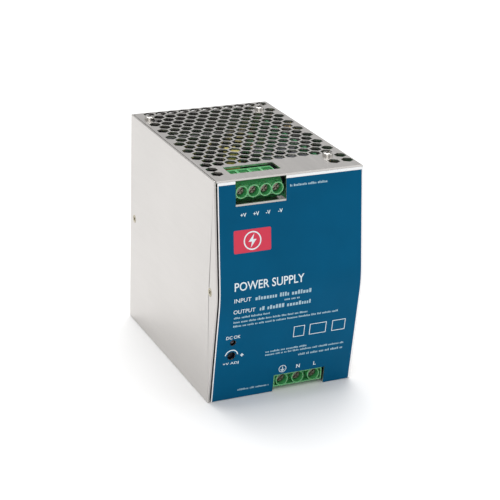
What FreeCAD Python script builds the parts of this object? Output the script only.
import FreeCAD, Part
import math
import os

from FreeCAD import Placement, Rotation, Vector

# Rail-mounted power supply.  Millimetres.
#
# Frame: the origin is the centre of the rail seat, on the rear face of the rail bracket.  +Z is up, +Y
# points back towards the rail, -Y is the operator's side, and +X is to the right seen from the front.
# Inside this file a place on the case is given by three distances: "left" from the outer face of the
# left cover, "back" from the rear plane of the case, and "base" from the outer face of the bottom.

# ---- case -------------------------------------------------------------------------------------------
CASE_W = 85.5             # width over both side walls
CASE_H = 125.2            # height over top and bottom
EDGE_DEPTH = 119.5        # rear plane to the front, at the top and bottom edges
APEX_DEPTH = 126.9        # rear plane to the point where the two front slopes would meet
CREST_RADIUS = 60.0       # rounding of the ridge across the front
SHEET = 1.0               # sheet thickness of the case
BEND = 2.0                # outer bend radius of the folded sheet
TOP_LIP = 0.3             # how far the top sheet stands proud of the front panel
SEAM = 0.2                # joint between the left cover and the folded sheet
SIDE_GAP = 0.9            # shadow gap between the left cover and the front panel
FLANGE = 10.0             # depth of the folded flanges of front and rear panels
LABEL = 0.2               # thickness of the front label
LABEL_INSET = 0.1         # the label lies this far behind the front edge of the left cover
PANEL_INSET = LABEL_INSET + LABEL
LABEL_MARGIN = 0.06       # how much wider the label's openings are than the panel's
FLAT_HEAD_R = 2.3         # countersunk case screws
FLAT_SHANK_R = 1.3

# ---- vent pattern -----------------------------------------------------------------------------------
VENT_PITCH = 7.0          # centre to centre, along a row
VENT_FLAT = 5.85          # across the flats of a hexagonal hole
VENT_ROWS = 16
VENT_COLUMNS = 11
VENT_FIRST_BACK = 4.0     # first row, from the rear plane
VENT_FIRST_LEFT = 9.4     # first hole of the even rows; odd rows are half a pitch further left

# ---- rail clip --------------------------------------------------------------------------------------
RAIL_H = 35.0             # height of the standard top-hat rail
BRACKET_T = 2.0           # rail bracket plate
BRACKET_W = 50.0
BRACKET_TOP = 24.0
BRACKET_BOTTOM = -57.0
HOOK_T = 1.6              # thickness of the hooks that hold the rail's flanges
HOOK_GAP = 1.6            # space for the rail's 1 mm flange
HOOK_REACH = 2.3          # how far a hook reaches over the flange
HOOK_W = 12.0
HOOK_X = 17.0
LATCH_W = 22.0
LATCH_T = 1.6
LATCH_BOTTOM = -61.4
LATCH_GAP = 0.3           # running gap around the sliding latch
LATCH_TRAVEL = 5.0
SPRING_R = 1.6            # mean radius of the latch spring
SPRING_WIRE = 0.25        # radius of its wire
SPRING_TOP = -30.0
SPRING_BOTTOM = -46.0

# ---- terminals --------------------------------------------------------------------------------------
# Each row: number of poles, pitch, left of the first screw, base of the screws, screw axis to the
# wire-entry face, half width of a clamp, ring radii, extra end wall, and direction of the wire entries.
OUTPUT = {"poles": 4, "pitch": 6.7, "left": 15.8, "base": 117.5, "entry": 6.1, "half": 2.85,
          "ring": 3.45, "bore": 2.95, "head": 2.2, "foot": 15.5, "wall": 0,
          "up": True, "rim": False}
INPUT = {"poles": 3, "pitch": 9.5, "left": 43.6, "base": 6.2, "entry": 5.9, "half": 3.7,
         "ring": 3.6, "bore": 3.15, "head": 2.5, "foot": 11.8, "wall": 0.75,
         "up": False, "rim": True}
BLOCK_REAR = 101.6        # back distance of a terminal block's rear face
BLOCK_FRONT = 117.2       # back distance of its front face, without the rings
RING_FRONT = 119.2        # back distance of the front of the rings
RIM_FLOOR = 114.7         # back distance of the recessed front of a block with a rim
CLAMP_REAR = 102.7        # rear face of an open clamp
CLAMP_LENGTH = 8.0
CLAMP_HALF_H = 3.3
CLAMP_WALL = 0.65
CLAMP_TRAVEL = 3.2
CONTACT_BACK = 108.1      # rear face of the fixed contact strip
CONTACT_T = 1.0
SCREW_R = 1.5
SCREW_RUN = 0.08          # running clearance of a screw in its clamp
HEAD_BACK = 115.2         # underside of a terminal screw's head
HEAD_H = 1.6

# ---- front openings ---------------------------------------------------------------------------------
OUTPUT_OPENING = (11.9, 40.4)     # left and right edge
OUTPUT_SILL = 111.8               # base of its lower edge
SILL_BAND = 1.1                   # bare metal below that edge, where the label stops short
INPUT_OPENING = (38.0, 68.7)
INPUT_LINTEL = 10.3               # base of its upper edge
TOP_OPENING_BACK = (101.0, 111.8)
TOP_OPENING_LEFT = (12.7, 41.0)
LED_PLACE = (11.8, 35.3)          # left and base
LED_HOLE_R = 1.7
LAMP_LENGTH = 8.2                 # without its dome
TRIM_PLACE = (11.5, 27.3)
TRIM_HOLE_R = 2.35
TRIM_BODY = 6.0                   # height of the trimmer's body over its board

# ---- circuit boards ---------------------------------------------------------------------------------
BOARD_T = 1.6
MAIN_BOARD_LEFT = 76.2            # component face of the main board
MAIN_BOARD_BACK = (4.0, 112.0)
MAIN_BOARD_BASE = (6.0, 119.0)
STANDOFF_PLACES = ((24.0, 9.5), (108.4, 9.5), (24.0, 115.5), (108.4, 115.5))
TOP_SCREWS = ((73.5, 101.0), (73.5, 14.0), (6.5, 12.0))
OUTPUT_BOARD_BASE = 102.0         # upper face
INPUT_BOARD_BASE = 18.0           # lower face
CONTROL_BOARD_BACK = 111.5

SLOPE = (APEX_DEPTH - EDGE_DEPTH) / (CASE_H / 2)
SLOPE_ANGLE = math.atan(SLOPE)
Y_APEX = -(BRACKET_T + APEX_DEPTH)
UP = Vector(0, 0, 1)
FORWARD = Vector(0, -1, 0)
RIGHT = Vector(1, 0, 0)


# ---- places and simple solids -----------------------------------------------------------------------
def at(left, back, base):
    """A point of the case, from its three distances."""
    return Vector(left - CASE_W / 2, -(BRACKET_T + back), base - CASE_H / 2)


def block(left, back, base):
    """A box from three pairs of distances."""
    low = at(left[0], back[1], base[0])
    return Part.makeBox(left[1] - left[0], back[1] - back[0], base[1] - base[0], low)


def plain_box(x, y, z):
    """A box from three pairs of coordinates."""
    return Part.makeBox(x[1] - x[0], y[1] - y[0], z[1] - z[0], Vector(x[0], y[0], z[0]))


def rod(radius, start, axis, length):
    return Part.makeCylinder(radius, length, start, axis)


def union(shapes):
    return shapes[0].fuse(shapes[1:]).removeSplitter()


def cut(shape, tools):
    return shape.cut(Part.makeCompound(tools))


def section_x(points, x_low, x_high):
    """A prism along X from points (y, z)."""
    corners = [Vector(x_low, y, z) for y, z in points]
    face = Part.Face(Part.makePolygon(corners + corners[:1]))
    return face.extrude(Vector(x_high - x_low, 0, 0))


def cross_recess(centre, axis, width, thickness, depth):
    """The solid that cuts a cross recess into a screw's head; axis points out of the head."""
    bars = []
    for angle in (45, 135):
        bar = Part.makeBox(width, thickness, depth + 1, Vector(-width / 2, -thickness / 2, -depth))
        bar.rotate(Vector(0, 0, 0), UP, angle)
        bars.append(bar)
    cross = bars[0].fuse(bars[1])
    cross.Placement = Placement(centre, Rotation(UP, axis))
    return cross


def pan_screw(place, axis, head_r, head_h, shank_r, shank_length):
    """A domed screw whose head stands on the point place; axis points out of the head."""
    head = rod(head_r, place, axis, head_h)
    rim = [edge for edge in head.Edges if edge.CenterOfMass.sub(place).dot(axis) > head_h / 2]
    rim = [edge for edge in rim if edge.Closed]
    head = head.makeFillet(head_h * 0.55, rim)
    shank = rod(shank_r, place - axis * shank_length, axis, shank_length + head_h / 2)
    recess = cross_recess(place + axis * head_h, axis, head_r * 1.3, head_r * 0.4, head_h * 0.7)
    return union([head, shank]).cut(recess)


def flat_screw(place, axis, head_r, shank_r, shank_length):
    """A countersunk screw whose flat head ends at the point place; axis points out of the head."""
    depth = head_r - shank_r
    head = Part.makeCone(shank_r, head_r, depth, place - axis * depth, axis)
    shank = rod(shank_r, place - axis * shank_length, axis, shank_length - depth / 2)
    recess = cross_recess(place, axis, head_r * 1.1, head_r * 0.28, depth * 0.7)
    return union([head, shank]).cut(recess)


def countersink(place, axis, head_r, shank_r, clearance, depth):
    """The solid that cuts a countersunk hole for flat_screw."""
    wide = head_r + clearance
    narrow = shank_r + clearance
    drop = wide - narrow
    cone = Part.makeCone(narrow, wide, drop, place - axis * drop, axis)
    hole = rod(narrow, place - axis * depth, axis, depth)
    mouth = rod(wide, place, axis, 1.0)
    return union([cone, hole, mouth])


# ---- the shape of the front -------------------------------------------------------------------------
def front_y(z, inset):
    """Y of the straight front slope at height z, inset behind the outer surface."""
    return Y_APEX + inset / math.cos(SLOPE_ANGLE) + abs(z) * SLOPE


def front_edges(x, inset, z_low, z_high):
    """Lower slope, rounded crest and upper slope, at a constant x."""
    radius = CREST_RADIUS - inset
    centre_y = Y_APEX + CREST_RADIUS / math.cos(SLOPE_ANGLE)
    touch_y = centre_y - radius * math.cos(SLOPE_ANGLE)
    touch_z = radius * math.sin(SLOPE_ANGLE)
    low = Vector(x, front_y(z_low, inset), z_low)
    high = Vector(x, front_y(z_high, inset), z_high)
    start = Vector(x, touch_y, -touch_z)
    crest = Vector(x, centre_y - radius, 0)
    end = Vector(x, touch_y, touch_z)
    return [Part.LineSegment(low, start).toShape(), Part.Arc(start, crest, end).toShape(),
            Part.LineSegment(end, high).toShape()]


def front_skin(x, z, outer, inner):
    """A sheet that follows the front, between two insets."""
    outside = front_edges(x[0], outer, z[0], z[1])
    inside = front_edges(x[0], inner, z[0], z[1])
    ends = []
    for a, b in ((outside[0].Vertexes[0], inside[0].Vertexes[0]),
                 (outside[2].Vertexes[-1], inside[2].Vertexes[-1])):
        ends.append(Part.LineSegment(a.Point, b.Point).toShape())
    wire = Part.Wire(Part.__sortEdges__(outside + inside + ends))
    return Part.Face(wire).extrude(Vector(x[1] - x[0], 0, 0))


def front_slab(x, z, inset, rear_y):
    """Everything behind the front, as far back as rear_y."""
    outside = front_edges(x[0], inset, z[0], z[1])
    low = outside[0].Vertexes[0].Point
    high = outside[2].Vertexes[-1].Point
    low_rear = Vector(x[0], rear_y, z[0])
    high_rear = Vector(x[0], rear_y, z[1])
    back = [Part.LineSegment(low, low_rear).toShape(), Part.LineSegment(low_rear, high_rear).toShape(),
            Part.LineSegment(high_rear, high).toShape()]
    wire = Part.Wire(Part.__sortEdges__(outside + back))
    return Part.Face(wire).extrude(Vector(x[1] - x[0], 0, 0))


# ---- case -------------------------------------------------------------------------------------------
def hexagon_hole(left, back, base_low, base_high):
    """A hexagonal prism with two flats facing left and right."""
    radius = VENT_FLAT / math.sqrt(3)
    corners = []
    for step in range(6):
        angle = math.radians(30 + 60 * step)
        corners.append(at(left + radius * math.cos(angle), back + radius * math.sin(angle), base_low))
    face = Part.Face(Part.makePolygon(corners + corners[:1]))
    return face.extrude(UP * (base_high - base_low))


def vent_holes(base_low, base_high):
    """The honeycomb, without the holes that the case screws need, plus the holes near the front."""
    row_pitch = VENT_PITCH * math.sin(math.radians(60))
    places = [(6.1, 102.2), (6.1, 109.4), (80.4, 102.2), (80.4, 110.2), (72.6, 110.2)]
    for row in range(VENT_ROWS):
        first = VENT_FIRST_LEFT - (VENT_PITCH / 2 if row % 2 else 0)
        for column in range(VENT_COLUMNS):
            places.append((first + VENT_PITCH * column, VENT_FIRST_BACK + row_pitch * row))
    holes = []
    for left, back in places:
        if all(math.hypot(left - x, back - y) > VENT_FLAT * 0.8 for x, y in TOP_SCREWS):
            holes.append(hexagon_hole(left, back, base_low, base_high))
    return holes


def make_chassis():
    """One folded sheet: vented top, right wall and vented bottom."""
    left = -CASE_W / 2 + SHEET + SEAM
    right = CASE_W / 2
    top = CASE_H / 2
    rear = -BRACKET_T
    length = APEX_DEPTH
    outer = plain_box((left, right), (rear - length, rear), (-top, top))
    corners = [edge for edge in outer.Edges
               if edge.CenterOfMass.x > right - 0.01 and abs(edge.CenterOfMass.z) > top - 0.01]
    corners = [edge for edge in corners if abs(edge.CenterOfMass.y - (rear - length / 2)) < 0.01]
    outer = outer.makeFillet(BEND, corners)
    inner_right = right - SHEET
    inner_top = top - SHEET
    inner = plain_box((left - 1, inner_right), (rear - length - 1, rear + 1), (-inner_top, inner_top))
    bends = [edge for edge in inner.Edges
             if edge.CenterOfMass.x > inner_right - 0.01 and abs(edge.CenterOfMass.z) > inner_top - 0.01]
    bends = [edge for edge in bends if abs(edge.CenterOfMass.y - (rear - length / 2)) < 0.01]
    inner = inner.makeFillet(BEND - SHEET, bends)
    folded = outer.cut(inner)
    lip_y = front_y(top, 0) - TOP_LIP
    behind_panel = front_slab((left - 1, right + 1), (-top, top - SHEET), PANEL_INSET + SHEET + 0.1, rear)
    under_lip = plain_box((left - 1, right + 1), (lip_y, rear), (top - SHEET, top))
    folded = folded.common(union([behind_panel, under_lip]))
    vents = vent_holes(CASE_H - 2 * SHEET, CASE_H + 1) + vent_holes(-1, 2 * SHEET)
    wire_side = block(TOP_OPENING_LEFT, TOP_OPENING_BACK, (CASE_H - 2 * SHEET, CASE_H + 1))
    mains_side = block(INPUT_OPENING, (TOP_OPENING_BACK[0], APEX_DEPTH), (-1, 2 * SHEET))
    screw_holes = [countersink(at(CASE_W, 118.4, 64.0), RIGHT, FLAT_HEAD_R, FLAT_SHANK_R, 0.05, 3)]
    for place_left, place_back in TOP_SCREWS:
        screw_holes.append(rod(1.6, at(place_left, place_back, CASE_H - 2), UP, 3))
        foot = at(place_left, place_back, 0)
        screw_holes.append(countersink(foot, UP * -1, FLAT_HEAD_R, FLAT_SHANK_R, 0.05, 3))
    return cut(folded, vents + [wire_side, mains_side] + screw_holes)


def make_left_cover():
    """The flat sheet that closes the left side."""
    left = -CASE_W / 2
    top = CASE_H / 2
    sheet = front_slab((left, left + SHEET), (-top, top), 0, -BRACKET_T)
    holes = [countersink(at(0, back, base), RIGHT * -1, FLAT_HEAD_R, FLAT_SHANK_R, 0.05, 3)
             for back, base in ((118.4, 64.0), (6.5, 64.0))]
    return cut(sheet, holes)


def make_rear_panel():
    """The rear sheet, with flanges folded forward at both sides."""
    half_w = CASE_W / 2 - SHEET - 0.4
    half_h = CASE_H / 2 - SHEET - 0.4
    rear = -BRACKET_T
    sheet = plain_box((-half_w, half_w), (rear - SHEET, rear), (-half_h, half_h))
    flanges = [plain_box((-half_w, -half_w + SHEET), (rear - FLANGE, rear), (-half_h, half_h)),
               plain_box((half_w - SHEET, half_w), (rear - FLANGE, rear), (-half_h, half_h))]
    folded = union([sheet] + flanges)
    edges = [edge for edge in folded.Edges
             if abs(abs(edge.CenterOfMass.x) - half_w) < 0.01 and abs(edge.CenterOfMass.y - rear) < 0.01]
    folded = folded.makeFillet(SHEET * 0.9, edges)
    holes = [rod(FLAT_SHANK_R + 0.02, at(-1, 6.5, 64.0), RIGHT, 5)]
    for x, z in bracket_screw_places():
        holes.append(rod(1.55, Vector(x, rear + 1, z), FORWARD, 4))
    return cut(folded, holes)


def make_front_panel():
    """The ridged front sheet with side flanges, terminal openings and a lip under the output block."""
    left = -CASE_W / 2 + SHEET + SIDE_GAP
    right = CASE_W / 2
    low = -CASE_H / 2
    high = CASE_H / 2 - SHEET - 0.1
    outer = PANEL_INSET
    skin = front_skin((left, right), (low, high), outer, outer + SHEET)
    flange_z = (low + 3, high - 3)
    flanges = []
    for x_low in (left, right - 2 * SHEET - 0.15):
        slab = front_slab((x_low, x_low + SHEET), flange_z, outer + SHEET / 2, front_y(0, 0) + FLANGE)
        flanges.append(slab)
    sill = at(0, 0, OUTPUT_SILL).z
    lip_front = front_y(sill, outer)
    lip = plain_box((at(OUTPUT_OPENING[0], 0, 0).x, at(OUTPUT_OPENING[1], 0, 0).x),
                    (lip_front + 0.1, lip_front + 5), (sill - SHEET, sill))
    panel = union([skin, lip] + flanges)
    return cut(panel, front_openings(0) + front_flange_holes())


def front_flange_holes():
    """Tapped holes for the side screws."""
    return [rod(FLAT_SHANK_R + 0.02, at(left, 118.4, 64.0), RIGHT, 6) for left in (-1, CASE_W - 5)]


def front_openings(grow):
    """The solids that cut the openings of the front; grow widens them for the label."""
    span = (EDGE_DEPTH - 6, APEX_DEPTH + 2)
    sill = OUTPUT_SILL - (SILL_BAND if grow else 0)
    above = block((OUTPUT_OPENING[0] - grow, OUTPUT_OPENING[1] + grow), span, (sill, CASE_H + 1))
    below = block((INPUT_OPENING[0] - grow, INPUT_OPENING[1] + grow), span, (-1, INPUT_LINTEL + grow))
    holes = []
    for (left, base), radius in ((LED_PLACE, LED_HOLE_R), (TRIM_PLACE, TRIM_HOLE_R)):
        holes.append(rod(radius + grow, at(left, APEX_DEPTH - 10, base), FORWARD, 14))
    return [above, below] + holes


def make_front_label():
    """A thin printed film on the front panel."""
    left = -CASE_W / 2 + SHEET + SIDE_GAP + 0.1
    right = CASE_W / 2 - 0.1
    low = -CASE_H / 2 + 0.1
    high = CASE_H / 2 - SHEET - 0.2
    film = front_skin((left, right), (low, high), LABEL_INSET, PANEL_INSET)
    return cut(film, front_openings(LABEL_MARGIN))


def make_case_screws():
    """Pan-head screws through the top and the bottom sheets."""
    screws = []
    for left, back in TOP_SCREWS:
        screws.append(pan_screw(at(left, back, CASE_H), UP, 2.75, 1.9, 1.45, 5.0))
    return Part.makeCompound(screws)


def make_base_screws():
    """Countersunk screws through the bottom sheet, flush with the surface that the case stands on."""
    screws = []
    for left, back in TOP_SCREWS:
        screws.append(flat_screw(at(left, back, 0), UP * -1, FLAT_HEAD_R, FLAT_SHANK_R, 5.0))
    return Part.makeCompound(screws)


def make_cover_screws():
    """Countersunk screws of the left cover and of the right wall."""
    places = [(at(0, 118.4, 64.0), RIGHT * -1), (at(0, 6.5, 64.0), RIGHT * -1),
              (at(CASE_W, 118.4, 64.0), RIGHT)]
    screws = [flat_screw(place, axis, FLAT_HEAD_R, FLAT_SHANK_R, 4.0) for place, axis in places]
    return Part.makeCompound(screws)


# ---- rail clip --------------------------------------------------------------------------------------
def bracket_screw_places():
    return [(-20.0, 9.0), (20.0, 9.0), (-20.0, -52.0), (20.0, -52.0)]


def rail_hook(x, z_rail, outward):
    """A hook over the rail's flange; outward is +1 above the rail and -1 below it."""
    tip = z_rail - outward * HOOK_REACH
    root = z_rail + outward * (HOOK_GAP + 0.4)
    edge = z_rail + outward * 0.3
    rear = HOOK_GAP + HOOK_T
    bevel = tip + outward * 1.4
    points = [(0, edge), (HOOK_GAP, edge), (HOOK_GAP, tip), (rear - 0.8, tip), (rear, bevel),
              (rear, root), (0, root)]
    return section_x(points, x[0], x[1])


def make_rail_bracket():
    """The steel plate with two fixed upper hooks and two guides for the sliding latch."""
    half = BRACKET_W / 2
    plate = plain_box((-half, half), (-BRACKET_T, 0), (BRACKET_BOTTOM, BRACKET_TOP))
    corners = [edge for edge in plate.Edges if abs(abs(edge.CenterOfMass.x) - half) < 0.01
               and abs(edge.CenterOfMass.y + BRACKET_T / 2) < 0.01]
    plate = plate.makeFillet(3.0, corners)
    hooks = [rail_hook((x - HOOK_W / 2, x + HOOK_W / 2), RAIL_H / 2, 1) for x in (-HOOK_X, HOOK_X)]
    guides = []
    wall = LATCH_W / 2 + LATCH_GAP
    lip_y = LATCH_GAP * 2 + LATCH_T
    for side in (-1, 1):
        xs = sorted((side * wall, side * (wall + 2.5)))
        guides.append(plain_box(xs, (-0.2, lip_y + 1.5), (-50, -26)))
        xs = sorted((side * (wall - 2.0), side * (wall + 0.1)))
        guides.append(plain_box(xs, (lip_y, lip_y + 1.5), (-50, -26)))
    bracket = union([plate] + hooks + guides)
    window = plain_box((-2.6, 2.6), (-BRACKET_T - 1, 1), (SPRING_BOTTOM, SPRING_TOP + 1))
    tools = [window]
    for x, z in bracket_screw_places():
        tools.append(countersink(Vector(x, 0, z), Vector(0, 1, 0), 2.9, 1.5, 0.05, 4))
    return cut(bracket, tools)


def make_rail_latch():
    """The sliding latch: lower hook, flat body with a spring window, driver slot and pull tab."""
    half = LATCH_W / 2
    hook_z = -RAIL_H / 2
    front = LATCH_GAP
    rear = HOOK_GAP + HOOK_T
    body = plain_box((-half, half), (front, front + LATCH_T), (LATCH_BOTTOM, hook_z - 0.3))
    points = [(front, hook_z - 0.3), (HOOK_GAP, hook_z - 0.3), (HOOK_GAP, hook_z + HOOK_REACH),
              (rear - 1.1, hook_z + HOOK_REACH), (rear, hook_z + HOOK_REACH - 1.8), (rear, hook_z - 2.2),
              (front, hook_z - 2.2)]
    hook = section_x(points, -half, half)
    tab = plain_box((-half + 4, half - 4), (front, front + 5.0), (LATCH_BOTTOM, LATCH_BOTTOM + LATCH_T))
    latch = union([body, hook, tab])
    window = plain_box((-2.2, 2.2), (-1, 4), (SPRING_BOTTOM - 0.4, SPRING_TOP))
    slot = plain_box((-3.5, 3.5), (-1, 4), (LATCH_BOTTOM + 3.4, LATCH_BOTTOM + 5.6))
    return cut(latch, [window, slot])


def make_latch_spring():
    """The coil spring between the bracket and the latch; its axis is vertical."""
    height = SPRING_TOP - SPRING_BOTTOM - 2 * SPRING_WIRE - 0.1
    helix = Part.makeHelix(1.5, height, SPRING_R)
    profile = Part.Wire(Part.makeCircle(SPRING_WIRE, Vector(SPRING_R, 0, 0), Vector(0, 1, 0)))
    coil = Part.Wire(helix).makePipeShell([profile], True, True)
    coil.translate(Vector(0, 0.5, SPRING_BOTTOM + SPRING_WIRE + 0.05))
    return coil


def make_bracket_screws():
    screws = []
    for x, z in bracket_screw_places():
        screws.append(flat_screw(Vector(x, 0, z), Vector(0, 1, 0), 2.9, 1.45, 5.5))
    return Part.makeCompound(screws)


# ---- terminal blocks --------------------------------------------------------------------------------
# A block is built standing on its foot, with its screws on z = 0 and the wire entries upwards, in the
# frame of its first pole; the mains block is then turned over.
def local_box(x, back, z):
    return plain_box(x, (-(BRACKET_T + back[1]), -(BRACKET_T + back[0])), z)


def local_point(x, back, z):
    return Vector(x, -(BRACKET_T + back), z)


def seat_block(shape, kind):
    """Carry a shape from the block's own frame to its place in the case."""
    first = at(kind["left"], 0, kind["base"])
    if not kind["up"]:
        shape.rotate(Vector(0, 0, 0), Vector(0, 1, 0), 180)
        first = at(kind["left"] + (kind["poles"] - 1) * kind["pitch"], 0, kind["base"])
    shape.translate(Vector(first.x, 0, first.z))
    return shape


def pole_offsets(kind):
    """Pole places in the block's own frame, in order from the left of the finished case."""
    places = [kind["pitch"] * pole for pole in range(kind["poles"])]
    return places if kind["up"] else places[::-1]


def make_terminal_housing(kind):
    """The moulded body: one chamber, one screw well and one wire entry for each pole."""
    pitch = kind["pitch"]
    x_low = -pitch / 2 - kind["wall"]
    x_high = x_low + pitch * kind["poles"] + 2 * kind["wall"]
    top = kind["entry"]
    foot = -kind["foot"]
    rear = -(BRACKET_T + BLOCK_REAR)
    face = RIM_FLOOR if kind["rim"] else BLOCK_FRONT
    front = -(BRACKET_T + face)
    under = -(BRACKET_T + 112.0)
    if kind["rim"]:
        points = [(rear, foot), (under, foot), (under, -4.1), (front, -4.1), (front, top), (rear, top)]
    else:
        points = [(rear, foot), (under, foot), (under, -3.5), (front, -3.5), (front, 2.4),
                  (front + 4.4, top), (rear, top)]
    body = section_x(points, x_low, x_high)
    parts = [body]
    tools = []
    for pole in range(kind["poles"]):
        x = pitch * pole
        parts.append(rod(kind["ring"], local_point(x, face - 1, 0), FORWARD, RING_FRONT - face + 1))
        tools += chamber_tools(kind, x)
    if kind["rim"]:
        frame = local_box((x_low + 0.5, x_high - 0.5), (face - 0.5, RING_FRONT), (-3.3, 3.6))
        hollow = local_box((x_low + 1.1, x_high - 1.1), (face, RING_FRONT + 1), (-2.8, 3.1))
        parts.append(frame.cut(hollow))
    return seat_block(cut(union(parts), tools), kind)


def chamber_tools(kind, x):
    """The hollows of one pole: clamp chamber, wire entry, contact slot, screw hole and screw well."""
    half = kind["half"] + 0.15
    wire = kind["half"] - CLAMP_WALL
    height = CLAMP_HALF_H + 0.25
    clamp_end = CLAMP_REAR + CLAMP_LENGTH + CLAMP_TRAVEL
    chamber = local_box((x - half, x + half), (CLAMP_REAR - 0.2, clamp_end + 0.2), (-height, height))
    face = kind["entry"]
    entry = local_box((x - wire, x + wire), (CLAMP_REAR + CLAMP_WALL, CONTACT_BACK), (-5.5, face + 1))
    funnel_front = -(BRACKET_T + 111.0)
    funnel_rear = -(BRACKET_T + CLAMP_REAR + 0.2)
    funnel = section_x([(funnel_rear, face + 0.1), (funnel_front, face + 0.1),
                        (funnel_front + 1.6, face - 1.3), (funnel_rear - 0.3, face - 1.3)],
                       x - half + 0.2, x + half - 0.2)
    slot = local_box((x - 2.05, x + 2.05), (CONTACT_BACK - 0.05, CONTACT_BACK + CONTACT_T + 0.05),
                     (-kind["foot"] - 1, height))
    hole = rod(SCREW_R + 0.1, local_point(x, CONTACT_BACK, 0), FORWARD, HEAD_BACK - CONTACT_BACK)
    well = rod(kind["bore"], local_point(x, HEAD_BACK - 0.05, 0), FORWARD, 6)
    return [chamber, entry, funnel, slot, hole, well]


def make_contacts(kind):
    """Tinned contact strips that end in solder pins."""
    strips = []
    for x in pole_offsets(kind):
        back = (CONTACT_BACK, CONTACT_BACK + CONTACT_T)
        strip = local_box((x - 2.0, x + 2.0), back, (-kind["foot"] + 0.1, CLAMP_HALF_H))
        pin = local_box((x - 0.6, x + 0.6), back, (-kind["foot"] - 3.2, -kind["foot"] + 0.2))
        strips.append(seat_block(union([strip, pin]), kind))
    return Part.makeCompound(strips)


def make_clamp(kind, x):
    """The steel cage that lifts towards the screw's head and grips the wire."""
    half = kind["half"]
    back = (CLAMP_REAR, CLAMP_REAR + CLAMP_LENGTH)
    cage = local_box((x - half, x + half), back, (-CLAMP_HALF_H, CLAMP_HALF_H))
    inside = half - CLAMP_WALL
    hollow = local_box((x - inside, x + inside), (back[0] + CLAMP_WALL, back[1] - 1.0), (-5, 5))
    hole = rod(SCREW_R + SCREW_RUN, local_point(x, CONTACT_BACK, 0), FORWARD, 5)
    return seat_block(cage.cut(hollow).cut(hole), kind)


def make_terminal_screw(kind, x):
    """The captive clamp screw, with a cross recess."""
    tip = CONTACT_BACK + CONTACT_T + 0.1
    shank = rod(SCREW_R, local_point(x, tip, 0), FORWARD, HEAD_BACK + 0.5 - tip)
    place = local_point(x, HEAD_BACK, 0)
    head = rod(kind["head"], place, FORWARD, HEAD_H)
    rim = [edge for edge in head.Edges if edge.Closed and edge.CenterOfMass.y < place.y - 1]
    head = head.makeFillet(0.5, rim)
    recess = cross_recess(local_point(x, HEAD_BACK + HEAD_H, 0), FORWARD, kind["head"] * 1.5, 0.75, 1.1)
    return seat_block(union([shank, head]).cut(recess), kind)


# ---- boards -----------------------------------------------------------------------------------------
def make_main_board():
    """The vertical board beside the right wall."""
    board = block((MAIN_BOARD_LEFT, MAIN_BOARD_LEFT + BOARD_T), MAIN_BOARD_BACK, MAIN_BOARD_BASE)
    holes = [rod(1.6, at(MAIN_BOARD_LEFT - 1, back, base), RIGHT, 4) for back, base in STANDOFF_PLACES]
    return cut(board, holes)


def make_board_standoffs():
    """Round spacers between the main board and the right wall."""
    low = MAIN_BOARD_LEFT + BOARD_T + 0.02
    length = CASE_W - SHEET - 0.05 - low
    spacers = []
    for back, base in STANDOFF_PLACES:
        spacer = rod(3.0, at(low, back, base), RIGHT, length)
        spacers.append(spacer.cut(rod(1.5, at(low - 1, back, base), RIGHT, length - 1)))
    return Part.makeCompound(spacers)


def make_board_screws():
    screws = []
    for back, base in STANDOFF_PLACES:
        screws.append(pan_screw(at(MAIN_BOARD_LEFT, back, base), RIGHT * -1, 2.6, 1.8, 1.4, 5.0))
    return Part.makeCompound(screws)


def make_insulation_sheet():
    """A thin sheet between the solder side of the main board and the right wall."""
    sheet = block((83.2, 83.6), (13.0, 111.0), (7.0, 118.0))
    holes = [rod(3.3, at(82, back, base), RIGHT, 4) for back, base in STANDOFF_PLACES]
    return cut(sheet, holes)


def make_board_brackets():
    """Angles that tie the top and bottom edges of the main board to the case screws."""
    angles = []
    for back in (101.0, 14.0):
        for base_face, lean in ((CASE_H - SHEET - 0.05, -1), (SHEET + 0.05, 1)):
            flat = sorted((base_face, base_face + lean * 1.2))
            leg = sorted((base_face, base_face + lean * 9.0))
            plate = block((70.0, MAIN_BOARD_LEFT - 0.05), (back - 4.2, back + 4.2), flat)
            wall = block((MAIN_BOARD_LEFT - 1.25, MAIN_BOARD_LEFT - 0.05), (back - 4.2, back + 4.2), leg)
            hole = rod(1.5, at(73.5, back, base_face - 3), UP, 6)
            angles.append(union([plate, wall]).cut(hole))
    return Part.makeCompound(angles)


def board_with_pins(kind, board):
    """Drill a board for the contact pins of a terminal block."""
    holes = []
    for x in pole_offsets(kind):
        back = (CONTACT_BACK - 0.2, CONTACT_BACK + CONTACT_T + 0.2)
        hole = local_box((x - 0.8, x + 0.8), back, (-25, 5))
        holes.append(seat_block(hole, kind))
    return cut(board, holes)


def make_output_board():
    """The L-shaped horizontal board under the output block."""
    level = (OUTPUT_BOARD_BASE - BOARD_T, OUTPUT_BOARD_BASE)
    board = block((8.0, 75.5), (98.0, 113.0), level).fuse(block((27.0, 75.5), (58.0, 99.0), level))
    return board_with_pins(OUTPUT, board.removeSplitter())


def make_input_board():
    """The horizontal board over the mains block."""
    board = block((30.0, 75.5), (78.0, 113.0), (INPUT_BOARD_BASE, INPUT_BOARD_BASE + BOARD_T))
    return board_with_pins(INPUT, board)


def make_control_board():
    """The small board behind the front panel, with the lamp and the voltage trimmer."""
    board = block((5.0, 22.0), (CONTROL_BOARD_BACK, CONTROL_BOARD_BACK + BOARD_T), (18.0, 46.0))
    holes = [rod(1.1, at(left, CONTROL_BOARD_BACK - 1, base), FORWARD, 4)
             for left, base in ((7.5, 43.0), (19.5, 43.0), (7.5, 20.5), (19.5, 20.5))]
    return cut(board, holes)


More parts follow.
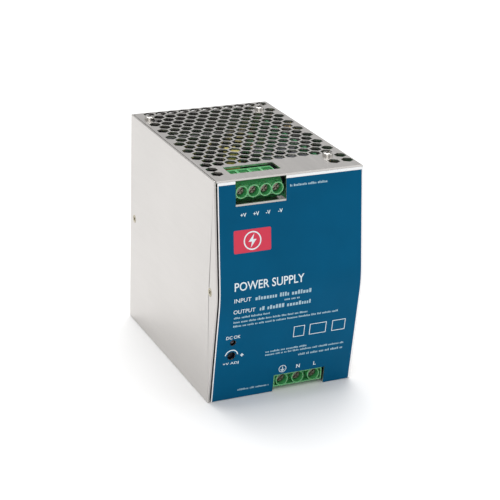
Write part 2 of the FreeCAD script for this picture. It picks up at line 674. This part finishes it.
def make_status_lamp():
    """A 3 mm lamp: flange, body and dome."""
    left, base = LED_PLACE
    board_face = CONTROL_BOARD_BACK + BOARD_T
    body = rod(1.45, at(left, board_face, base), FORWARD, LAMP_LENGTH)
    dome = Part.makeSphere(1.45, at(left, board_face + LAMP_LENGTH, base))
    flange = rod(1.9, at(left, board_face, base), FORWARD, 1.0)
    return union([body, dome, flange])


def make_trimmer_body():
    """The square body of the voltage trimmer, with a round well for its rotor."""
    left, base = TRIM_PLACE
    board_face = CONTROL_BOARD_BACK + BOARD_T
    body = block((left - 3.3, left + 3.3), (board_face, board_face + TRIM_BODY), (base - 3.3, base + 3.3))
    well = rod(1.8, at(left, board_face + 1.5, base), FORWARD, 6)
    return body.cut(well)


def make_trimmer_rotor():
    """The slotted rotor that a small screwdriver turns."""
    left, base = TRIM_PLACE
    start = CONTROL_BOARD_BACK + BOARD_T + 1.6
    length = TRIM_BODY - 0.9
    rotor = rod(1.75, at(left, start, base), FORWARD, length)
    return rotor.cut(cross_recess(at(left, start + length, base), FORWARD, 2.7, 0.6, 0.9))


# ---- parts on the boards ----------------------------------------------------------------------------
def can_capacitor(place, axis, radius, length):
    """An electrolytic capacitor: an aluminium can with a rolled groove near its foot."""
    can = rod(radius, place, axis, length)
    end = place + axis * length
    rim = [edge for edge in can.Edges if edge.Closed and edge.CenterOfMass.sub(end).Length < 0.01]
    can = can.makeFillet(0.7, rim)
    groove = Part.makeTorus(radius + 0.25, 0.7, place + axis * 3.5, axis)
    return can.cut(groove)


def make_bulk_capacitors():
    cans = [can_capacitor(at(MAIN_BOARD_LEFT - 0.1, 20.0, base), RIGHT * -1, 12.5, 42.0)
            for base in (26.0, 51.5)]
    return Part.makeCompound(cans)


def make_output_capacitors():
    cans = []
    for left in (51.0, 65.0):
        for back in (66.0, 82.0):
            cans.append(can_capacitor(at(left, back, OUTPUT_BOARD_BASE + 0.1), UP, 6.25, 18.0))
    return Part.makeCompound(cans)


def soft_block(left, back, base, radius):
    """A moulded box with rounded edges."""
    shape = block(left, back, base)
    return shape.makeFillet(radius, shape.Edges)


def make_film_capacitors():
    """Box-shaped film capacitors."""
    above = OUTPUT_BOARD_BASE + 0.1
    return Part.makeCompound([
        soft_block((30.0, 37.0), (62.0, 71.0), (above, 122.0), 0.8),
        soft_block((34.0, 42.0), (79.0, 89.0), (above, 114.0), 0.8),
        soft_block((54.0, MAIN_BOARD_LEFT - 0.1), (54.0, 66.0), (7.0, 19.0), 0.8)])


def make_disc_capacitors():
    """Two disc capacitors beside the mains block."""
    discs = []
    for left in (34.0, 42.0):
        disc = rod(4.2, at(left, 98.0, INPUT_BOARD_BASE + BOARD_T + 4.4), FORWARD, 3.4)
        discs.append(disc.makeFillet(1.2, [edge for edge in disc.Edges if edge.Closed]))
    return Part.makeCompound(discs)


def wound_core(centre, core_r, section_r, wire_r, turns):
    """A coated toroid and its winding of separate turns; its axis is along X."""
    core = Part.makeTorus(core_r, section_r, centre, RIGHT)
    loops = []
    for turn in range(turns):
        angle = 2 * math.pi * turn / turns
        spoke = Vector(0, math.cos(angle), math.sin(angle))
        tangent = Vector(0, -math.sin(angle), math.cos(angle))
        loops.append(Part.makeTorus(section_r + wire_r + 0.1, wire_r, centre + spoke * core_r, tangent))
    return core, loops


def make_mains_chokes():
    """Two toroidal chokes of the mains filter."""
    cores = []
    loops = []
    for back in (96.0, 66.0):
        core, turns = wound_core(at(66.0, back, 36.0), 8.8, 4.0, 0.7, 14)
        cores.append(core)
        loops += turns
    return Part.makeCompound(cores), Part.makeCompound(loops)


def make_output_choke():
    """The toroidal choke of the output filter."""
    core, loops = wound_core(at(64.0, 20.0, 103.0), 8.0, 3.6, 0.8, 12)
    return core, Part.makeCompound(loops)


def window_core(left, back, base, overhang):
    """A ferrite core with two windows and the coil round its middle leg."""
    width = left[1] - left[0]
    leg = width * 0.15
    middle = (left[0] + left[1]) / 2
    yoke = (base[1] - base[0]) * 0.16
    window = (base[0] + yoke, base[1] - yoke)
    core = block(left, back, base)
    hollows = [block((left[0] + leg, middle - leg), (back[0] - 1, back[1] + 1), window),
               block((middle + leg, left[1] - leg), (back[0] - 1, back[1] + 1), window)]
    core = cut(core, hollows)
    coil = block((left[0] + leg + 0.2, left[1] - leg - 0.2), (back[0] - overhang, back[1] + overhang),
                 (window[0] + 0.2, window[1] - 0.2))
    corners = [edge for edge in coil.Edges if abs(edge.tangentAt(edge.FirstParameter).z) > 0.9]
    coil = coil.makeFillet(3.0, corners)
    bore = block((middle - leg - 0.15, middle + leg + 0.15), (back[0] - 0.15, back[1] + 0.15),
                 (base[0], base[1]))
    return core, coil.cut(bore)


def make_transformer():
    return window_core((38.0, 76.0), (49.0, 75.0), (62.0, 98.0), 4.5)


def make_boost_choke():
    return window_core((48.0, 76.0), (88.0, 106.0), (60.0, 92.0), 4.5)


def make_heatsink():
    """An aluminium profile: a broad plate, a side leg, and a tapped post for the case screw."""
    plate = block((3.0, 55.0), (33.0, 36.0), (62.0, 121.0))
    leg = block((3.0, 6.0), (9.0, 33.5), (62.0, 121.0))
    post = block((3.0, 10.0), (9.0, 17.0), (110.0, CASE_H - SHEET - 0.05))
    ribs = [block((left, left + 1.2), (30.0, 33.2), (62.0, 121.0)) for left in range(14, 54, 6)]
    screw_hole = rod(1.5, at(6.5, 12.0, 116.0), UP, 12)
    return union([plate, leg, post] + ribs).cut(screw_hole)


def make_power_transistors():
    """Flat-pack transistors clamped to the heatsink."""
    packs = []
    for left in (10.0, 28.0):
        for base in (70.0, 96.0):
            pack = block((left, left + 15.6), (36.05, 40.8), (base, base + 18.0))
            packs.append(pack.cut(rod(1.8, at(left + 7.8, 35.0, base + 14.0), FORWARD, 8)))
    return Part.makeCompound(packs)


def make_bridge_rectifier():
    return soft_block((56.0, MAIN_BOARD_LEFT - 0.1), (40.0, 46.0), (24.0, 48.0), 0.6)


def make_relay():
    return soft_block((58.0, MAIN_BOARD_LEFT - 0.1), (8.0, 28.0), (65.5, 85.5), 0.8)


def make_varistor():
    disc = rod(6.0, at(69.5, 86.0, 11.6), FORWARD, 4.6)
    return disc.makeFillet(1.5, [edge for edge in disc.Edges if edge.Closed])


def make_mains_fuse():
    """A cartridge fuse: glass tube between two metal caps."""
    start = at(32.0, 86.0, INPUT_BOARD_BASE + BOARD_T + 3.0)
    tube = rod(2.4, start, RIGHT, 20.0)
    caps = [rod(2.65, start + RIGHT * offset, RIGHT, 5.0) for offset in (0.0, 15.0)]
    return union([tube] + caps)


# ---- assembly ---------------------------------------------------------------------------------------
def add_terminals(nodes, name, kind):
    nodes[name + "_terminal_housing"] = make_terminal_housing(kind)
    nodes[name + "_contacts"] = make_contacts(kind)
    for number, x in enumerate(pole_offsets(kind), start=1):
        nodes["%s_clamp_%d" % (name, number)] = make_clamp(kind, x)
        nodes["%s_screw_%d" % (name, number)] = make_terminal_screw(kind, x)


def build_nodes():
    nodes = {
        "chassis": make_chassis(),
        "left_cover": make_left_cover(),
        "rear_panel": make_rear_panel(),
        "front_panel": make_front_panel(),
        "front_label": make_front_label(),
        "case_screws": make_case_screws(),
        "base_screws": make_base_screws(),
        "cover_screws": make_cover_screws(),
        "rail_bracket": make_rail_bracket(),
        "rail_latch": make_rail_latch(),
        "latch_spring": make_latch_spring(),
        "bracket_screws": make_bracket_screws(),
        "main_board": make_main_board(),
        "board_standoffs": make_board_standoffs(),
        "board_screws": make_board_screws(),
        "board_brackets": make_board_brackets(),
        "insulation_sheet": make_insulation_sheet(),
        "output_board": make_output_board(),
        "input_board": make_input_board(),
        "control_board": make_control_board(),
        "status_lamp": make_status_lamp(),
        "trimmer_body": make_trimmer_body(),
        "trimmer_rotor": make_trimmer_rotor(),
        "bulk_capacitors": make_bulk_capacitors(),
        "output_capacitors": make_output_capacitors(),
        "film_capacitors": make_film_capacitors(),
        "disc_capacitors": make_disc_capacitors(),
        "heatsink": make_heatsink(),
        "power_transistors": make_power_transistors(),
        "bridge_rectifier": make_bridge_rectifier(),
        "relay": make_relay(),
        "varistor": make_varistor(),
        "mains_fuse": make_mains_fuse(),
    }
    nodes["mains_choke_cores"], nodes["mains_choke_windings"] = make_mains_chokes()
    nodes["output_choke_core"], nodes["output_choke_winding"] = make_output_choke()
    nodes["transformer_core"], nodes["transformer_coil"] = make_transformer()
    nodes["boost_choke_core"], nodes["boost_choke_coil"] = make_boost_choke()
    add_terminals(nodes, "output", OUTPUT)
    add_terminals(nodes, "input", INPUT)
    return nodes


def export_nodes(nodes):
    os.makedirs("parts", exist_ok=True)
    for name, shape in nodes.items():
        shape.exportStep(os.path.join("parts", name + ".step"))


NODES = build_nodes()
export_nodes(NODES)
for node_name, node_shape in NODES.items():
    print(node_name, len(node_shape.Solids), "%.1f" % node_shape.Volume, node_shape.isValid())
print(len(NODES), "nodes")
